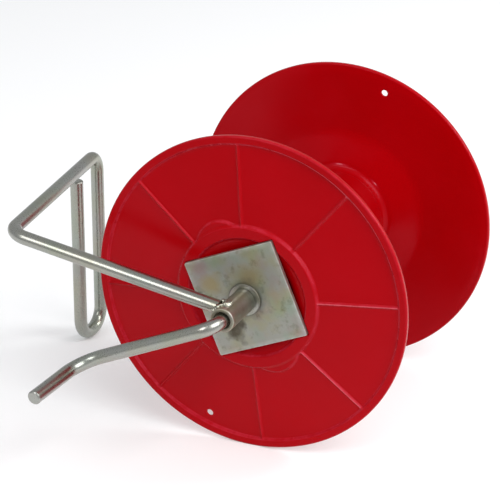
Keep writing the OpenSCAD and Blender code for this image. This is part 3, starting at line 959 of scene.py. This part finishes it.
def bar_points(line, radius):
    """Circles across a middle line: point = middle + radius (cos t side + sin t other side), with a bend
    pressed in along its inward direction. radius holds one value for each row, or for each row and column."""
    middle, heading, side, inward, share = np.split(line, [3, 6, 9, 12], axis=1)
    other = np.cross(heading, side)
    turn = full_turn(BAR_COLUMNS)[None, :, None]
    spoke = side[:, None] * np.cos(turn) + other[:, None] * np.sin(turn)
    pressed = (spoke * inward[:, None]).sum(-1, keepdims=True) * inward[:, None]
    spoke = spoke - pressed * (BEND_FLATTEN * share)[:, None]
    return middle[:, None] + spoke * np.asarray(radius).reshape(len(line), -1, 1)


def cut_end(line):
    """Rows that close a bar's last end: a chamfer with softened corners, then a flat face to the middle.
    The profile gives the distance back from the end and the distance in from the bar's side. Returns the
    line's rows there and their radii."""
    profile = np.array([[END_CHAMFER + 0.5, 0], [END_CHAMFER + 0.12, 0], [END_CHAMFER, 0.03],
                        [END_CHAMFER - 0.15, 0.15], [0.15, END_CHAMFER - 0.15], [0.03, END_CHAMFER - 0.02],
                        [0, END_CHAMFER + 0.15], [0, 3.5], [0, BAR_R]])
    end = np.tile(line[-1], (len(profile), 1))
    end[:, 0:3] -= profile[:, :1] * end[:, 3:6]
    return end, BAR_R - profile[:, 1]


print("bar helpers ready")

# %% [markdown]
# ## Handle and hook
# One bar makes the handle: it leaves the tube sideways, turns back along the spool as the grip that carries
# the reel, and drops as a hook with two legs. Its end is welded to the tube, and the weld is a lumpy bead
# round the curve where a thin cylinder meets a thick one. A bead could be sculpted, but waves of different
# length do it as a formula.

# %% Handle bar
HANDLE_BEND_R = 17.0
HANDLE_INSET = 11.0
HANDLE_LIFT = 5.0
HANDLE_REACH = 202.0
HANDLE_RISE = 40.0
HANDLE_SINK = 3.0
HOOK_FLAT = 4.0
HOOK_PITCH = 40.6
HOOK_TIP = 23.5
HOOK_TOP = 36.0

tube_low, tube_high = node_box("bearing_tube")
tube_r = (tube_high[2] - tube_low[2]) / 2
tube_out, tube_in = -tube_low[1], -tube_high[1]
handle_low, handle_high = node_box("hook_handle")
hook_x = handle_low[0] + BAR_R
hook_back = handle_high[1] - BAR_R
hook_front = hook_back - HOOK_PITCH
hook_foot = cad_low.z / MM + BAR_R
hook_bend_r = (HOOK_PITCH - HOOK_FLAT) / 2
handle_y = -(tube_out - HANDLE_INSET)
handle_start = np.array([0, handle_y, HANDLE_LIFT])
first_bend = np.array([-HANDLE_REACH, handle_y, HANDLE_RISE])
leg = unit(first_bend - handle_start)
handle_corners = [handle_start + leg * (tube_r - HANDLE_SINK), first_bend, [hook_x, hook_back, HOOK_TOP],
                  [hook_x, hook_back, hook_foot], [hook_x, hook_front, hook_foot],
                  [hook_x, hook_front, HOOK_TIP]]
handle_line = middle_line(handle_corners, [HANDLE_BEND_R, HANDLE_BEND_R, hook_bend_r, hook_bend_r])
tip_line, tip_radius = cut_end(handle_line)
handle_rows = np.concatenate([handle_line[:1], handle_line[:-1], tip_line])
handle_radius = np.concatenate([[0.0], np.full(len(handle_line) - 1, BAR_R), tip_radius])
print("handle rows", len(handle_rows), "hook bend", round(hook_bend_r, 2))

# %% Handle weld
WELD_COLUMNS = 20
WELD_LIFT = 0.3
WELD_DULL = -0.05


def radius_of(points):
    """Distance of points from the axle."""
    return np.hypot(points[..., 0], points[..., 2])


def weld_bead(path, out, size, lumps):
    """A bead along a closed path: a circle carried round it whose radius swells and shrinks, as the weld pool
    did, by a fifth in long waves along the path and by a seventh in short waves along and across it. out is
    the direction that faces away from the joint."""
    t = full_turn(len(path))[:, None, None]
    around = full_turn(WELD_COLUMNS)[None, :, None]
    forward = unit(np.roll(path, -1, 0) - np.roll(path, 1, 0))
    across = np.cross(forward, out)
    swell = 1 + 0.20 * np.sin(lumps * t) + 0.14 * np.sin((lumps * 2 + 3) * t + 1.0)
    swell = size * swell * (1 + 0.14 * np.sin(3 * around + 5 * t))
    return path[:, None] + swell * (out[:, None] * np.cos(around) + across[:, None] * np.sin(around))


t = full_turn(count=144)[:, None]
leg_side = np.array([0, 1.0, 0])
spoke = leg_side * np.cos(t) + np.cross(leg, leg_side) * np.sin(t)
# Lines along the bar's side meet the tube where a step along the leg brings them to its radius.
side_ring = handle_start + BAR_R * spoke
along_leg = side_ring @ leg
step = np.sqrt(np.maximum(along_leg ** 2 + tube_r ** 2 - radius_of(side_ring) ** 2, 0)) - along_leg
weld_path = side_ring + step[:, None] * leg
weld_out = unit(spoke + weld_path * [1, 0, 1] / tube_r)
handle_weld = weld_bead(weld_path + WELD_LIFT * weld_out, weld_out, size=2.0, lumps=9)
handle_skins = [skin(bar_points(handle_rows, handle_radius), close_rows=False),
                skin(handle_weld, edge=np.full(handle_weld.shape[:2], WELD_DULL))]
build("hook_handle_bar", handle_skins, zinc_bar, "handle_frame", "zinc_bar", "hook_handle")

# %% [markdown]
# ## Crank and axle
# The crank is the same bar: the axle runs the length of the spool and comes out of the tube, and two bends
# make the arm and the grip. The far end of the axle carries the thread for the nut. A Screw modifier could
# make a thread. Here it is a ripple in the radius, one pitch for each turn, so it stays part of the bar.

# %% Crank
CRANK_THROW = 135.0
CRANK_DROP = np.radians(23.8)
CRANK_STAND = 2.0
CRANK_BEND_R = 13.0
GRIP_BEND_R = 25.0
GRIP_LEN = 72.0
GRIP_LEAN = np.radians(5)
THREAD_PITCH = 1.75
THREAD_DEPTH = 0.75
THREAD_LEN = 7.0
THREAD_RUNOUT = 1.5
THREAD_ROWS = 60
AXLE_FACE_R = 3.8

axle_end = node_box("crank_axle")[1][1]
thread_start = axle_end - THREAD_LEN
arm_y = -(tube_out + CRANK_STAND + CRANK_BEND_R)
arm = np.array([-np.cos(CRANK_DROP), 0, -np.sin(CRANK_DROP)])
grip = arm * np.sin(GRIP_LEAN) + np.array([0, -np.cos(GRIP_LEAN), 0])
arm_end = arm * CRANK_THROW + [0, arm_y, 0]
crank_line = middle_line([[0, thread_start, 0], [0, arm_y, 0], arm_end, arm_end + grip * GRIP_LEN],
                         [CRANK_BEND_R, GRIP_BEND_R])
grip_line, grip_radius = cut_end(crank_line)

thread_y = np.linspace(axle_end, thread_start, THREAD_ROWS, endpoint=False)
thread_line = np.tile(crank_line[0], (THREAD_ROWS, 1))
thread_line[:, 1] = thread_y
turns = np.linspace(0, 1, BAR_COLUMNS, endpoint=False)[None, :]
ripple = np.abs(np.mod(thread_y[:, None] / THREAD_PITCH + turns, 1) * 2 - 1)
fade = smooth_step(thread_y, thread_start, thread_start + THREAD_RUNOUT)[:, None]
thread_radius = BAR_R - THREAD_DEPTH * fade * smooth_step(ripple, 0.15, 0.85)
tail_chamfer = np.maximum(END_CHAMFER - (axle_end - thread_y), 0)[:, None]
thread_radius = np.minimum(thread_radius, BAR_R - tail_chamfer)

crank_rows = np.concatenate([thread_line[[0, 0]], thread_line, crank_line[:-1], grip_line])
tail_radius = np.array([0.0, AXLE_FACE_R])
plain_radius = np.concatenate([np.full(len(crank_line) - 1, BAR_R), grip_radius])
crank_radius = np.concatenate([np.repeat(tail_radius[:, None], BAR_COLUMNS, axis=1), thread_radius,
                               np.repeat(plain_radius[:, None], BAR_COLUMNS, axis=1)])
crank_skin = skin(bar_points(crank_rows, crank_radius), close_rows=False)
build("crank_bar", [crank_skin], zinc_bar, "spool", "zinc_bar", "crank_axle")

# %% [markdown]
# ## Tube and washers
# These are turned parts. A Screw modifier could spin them, but a grid also gives each point its mark. The
# tube's mouth is counterbored, which leaves the dark ring round the axle. A painted highlight runs along the
# top of the tube, the steel is darker and duller inside the mouth, and a painted shadow rings the washers'
# edges.

# %% Tube
TUBE_BORE_R = 6.05
MOUTH_R = 7.45
MOUTH_DEPTH = 3.0
MOUTH_CONE = 0.8
TUBE_ROUNDS = [0.5, 1.6, 0.5, 0.3, 0.3, 0.5]
TURNED_COLUMNS = 112
# A painted highlight runs along the top of the tube.
TUBE_HIGHLIGHT_TURN = np.radians(79)
HIGHLIGHT_SPAN = (0.19, 0.04)
TUBE_HIGHLIGHT = 1.6
# Inside the mouth the steel is darker, duller and browner.
MOUTH_DARKENING = -0.7

mouth_floor = tube_out - MOUTH_DEPTH
tube_outline = rounded([[tube_r, tube_in], [tube_r, tube_out], [MOUTH_R, tube_out], [MOUTH_R, mouth_floor],
                        [TUBE_BORE_R, mouth_floor - MOUTH_CONE], [TUBE_BORE_R, tube_in]], TUBE_ROUNDS)
tube_points = lathe(tube_outline, -1, TURNED_COLUMNS)
tube_radius = radius_of(tube_points)
from_highlight = np.abs(np.arctan2(tube_points[..., 2], tube_points[..., 0]) - TUBE_HIGHLIGHT_TURN)
painted_streak = TUBE_HIGHLIGHT * smooth_step(from_highlight, *HIGHLIGHT_SPAN) * (tube_radius > tube_r - 0.1)
tube_edge = np.where(tube_radius < tube_r - 0.9, MOUTH_DARKENING, painted_streak)
tube_skin = skin(tube_points, edge=tube_edge)
build("bearing_tube_turned", [tube_skin], zinc_tube, "handle_frame", "zinc_tube", "bearing_tube")

# %% Washers
WASHER_HOLE_R = 6.1
WASHER_ROUNDS = [0.3, 0.9, 0.4, 0.3]
EDGE_SHADE_WIDTH = 1.0

for node, side in (("thrust_washer", -1), ("rear_washer", 1)):
    low, high = node_box(node)
    near, far = sorted((side * low[1], side * high[1]))
    washer_r = (high[2] - low[2]) / 2
    outline = rounded([[washer_r, near], [washer_r, far], [WASHER_HOLE_R, far], [WASHER_HOLE_R, near]],
                      WASHER_ROUNDS)
    points = lathe(outline, side, TURNED_COLUMNS)
    # A painted shadow darkens the washer's outer edge.
    washer_edge_shade = -1.0 * (radius_of(points) > washer_r - EDGE_SHADE_WIDTH)
    washer_skin = skin(points, edge=washer_edge_shade)
    build(node + "_turned", [washer_skin], zinc_fastener, "spool", "zinc_fastener", node)

# %% [markdown]
# ## Nut
# The nut holds the spool on the axle. It could be a six-sided cylinder cut by a cone. A lathe shape whose
# radius depends on the angle needs no cut: the radius is the smaller of a hexagon and of the cones that
# chamfer its corners, with a soft edge between them.

# %% Nut
NUT_AF = 18.0
NUT_COLUMNS = 180
NUT_ROWS = 40
NUT_FACE_R = 8.0
NUT_CHAMFER = 0.6
TOP_CONE = (0.55, 1.7)
FOOT_CONE = (0.9, 2.0)
NUT_SOFT = 0.02

nut_low, nut_high = node_box("axle_nut")
nut_h = nut_high[1] - nut_low[1]
nut_turn = full_turn(NUT_COLUMNS)[None, :]
hexagon = NUT_AF / 2 / np.cos(np.mod(nut_turn, np.pi / 3) - np.pi / 6)
rise = np.linspace(0, nut_h, NUT_ROWS)[:, None]
top_cone = NUT_AF / 2 + TOP_CONE[0] + (nut_h - rise) * TOP_CONE[1]
foot_cone = NUT_AF / 2 + FOOT_CONE[0] + rise * FOOT_CONE[1]
limit = np.minimum(top_cone, foot_cone)
nut_side = 0.5 * (hexagon + limit - np.sqrt((hexagon - limit) ** 2 + NUT_SOFT))
foot_face = np.array([WASHER_HOLE_R + NUT_CHAMFER, NUT_FACE_R])[:, None] + 0 * nut_turn
bore = np.full((2, NUT_COLUMNS), WASHER_HOLE_R)
nut_radius = np.concatenate([foot_face, nut_side, foot_face[::-1], bore])
nut_height = np.concatenate([[0, 0], rise[:, 0], [nut_h, nut_h, nut_h - NUT_CHAMFER, NUT_CHAMFER]])[:, None]
nut_skin = skin(round_axle(nut_radius, nut_turn, nut_low[1] + nut_height))
build("axle_nut_hexagon", [nut_skin], zinc_fastener, "spool", "zinc_fastener", "axle_nut")

# %% [markdown]
# ## End plates
# Two square plates of cut sheet clamp the spool, and the front one is welded to the axle behind. A bevelled
# cube with a boolean hole would do, but it shades badly. Each plate here is a grid that runs from the
# softened edge to the round hole and back on the other side, so square and circle share their columns.

# %% Plate helpers
PLATE_T = 4.0
PLATE_CORNER = 1.4
PLATE_EDGE = 0.45
PLATE_HOLE_R = 6.1
HOLE_FLARE = (0.5, 0.4)
FACE_SHARES = (0, 0.1, 0.25, 0.45, 0.65, 0.85, 1.0)


def square_ring(half, corner, per_side=24, per_corner=7):
    """Points round a square with rounded corners, turned as the plates are."""
    straight = np.linspace(-1, 1, per_side) * (half - corner)
    bend = arc((half - corner, half - corner), corner, 0, 90, per_corner)[1:-1]
    quarter = np.concatenate([np.column_stack([np.full(per_side, half), straight]), bend])
    ring = []
    for angle in PLATE_TURN + np.pi / 2 * np.arange(4):
        cos, sin = np.cos(angle), np.sin(angle)
        ring.append(quarter @ np.array([[cos, sin], [-sin, cos]]))
    return np.concatenate(ring)


def plate_skin(side, face):
    """A plate's closed skin: face is the height of its outer side, and it is PLATE_T thick.
    The rows of one half are listed with their heights and wear marks, and the other half is its mirror."""
    spoke = unit(square_ring(PLATE_HALF, PLATE_CORNER))
    half = []
    for angle in np.radians(np.linspace(0, 90, 5)):
        inset = PLATE_EDGE * (1 - np.cos(angle))
        ring = square_ring(PLATE_HALF - inset, PLATE_CORNER - inset)
        half.append((ring, face - PLATE_EDGE * (1 - np.sin(angle)), 1.0))
    edge_ring = square_ring(PLATE_HALF - PLATE_EDGE - 0.3, PLATE_CORNER - PLATE_EDGE)
    for share in FACE_SHARES:
        ring = edge_ring * (1 - share) + spoke * (PLATE_HOLE_R + HOLE_FLARE[0]) * share
        half.append((ring, face, 0.5 if share == 0 else 0.0))
    half.append((spoke * PLATE_HOLE_R, face - HOLE_FLARE[1], 0.0))
    mirrored = [(ring, 2 * face - PLATE_T - height, wear) for ring, height, wear in half[::-1]]
    rings, heights, wear = [np.array(part) for part in zip(*half, *mirrored)]
    heights, wear = [np.repeat(part[:, None], rings.shape[1], axis=1) for part in (heights, wear)]
    points = np.stack([rings[..., 0], side * heights, rings[..., 1]], axis=-1)
    return skin(points, edge=wear)


print("plate outline:", len(square_ring(PLATE_HALF, PLATE_CORNER)), "points")

# %% End plates
PLATE_WELD_OUT = 1.2
PLATE_WELD_SINK = 0.6

front_face = -node_box("front_plate")[0][1]
rear_face = node_box("rear_plate")[1][1]
ring = round_axle(1.0, full_turn(count=60), 0.0)
plate_weld_path = ring * (PLATE_HOLE_R + PLATE_WELD_OUT) + [0, -(front_face - PLATE_T - PLATE_WELD_SINK), 0]
plate_weld = weld_bead(plate_weld_path, unit(ring + [0, 1, 0]), size=1.9, lumps=13)
plate_skins = [plate_skin(-1, front_face), skin(plate_weld, edge=-np.ones(plate_weld.shape[:2]))]
build("front_plate_sheet", plate_skins, zinc_plate, "spool", "zinc_plate", "front_plate")
build("rear_plate_sheet", [plate_skin(1, rear_face)], zinc_plate, "spool", "zinc_plate", "rear_plate")

# %% Size change
look_low, look_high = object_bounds()
low_change = np.round((np.array(look_low) - cad_low) / MM, 2)
high_change = np.round((np.array(look_high) - cad_high) / MM, 2)
print("size change, mm:", low_change, high_change)
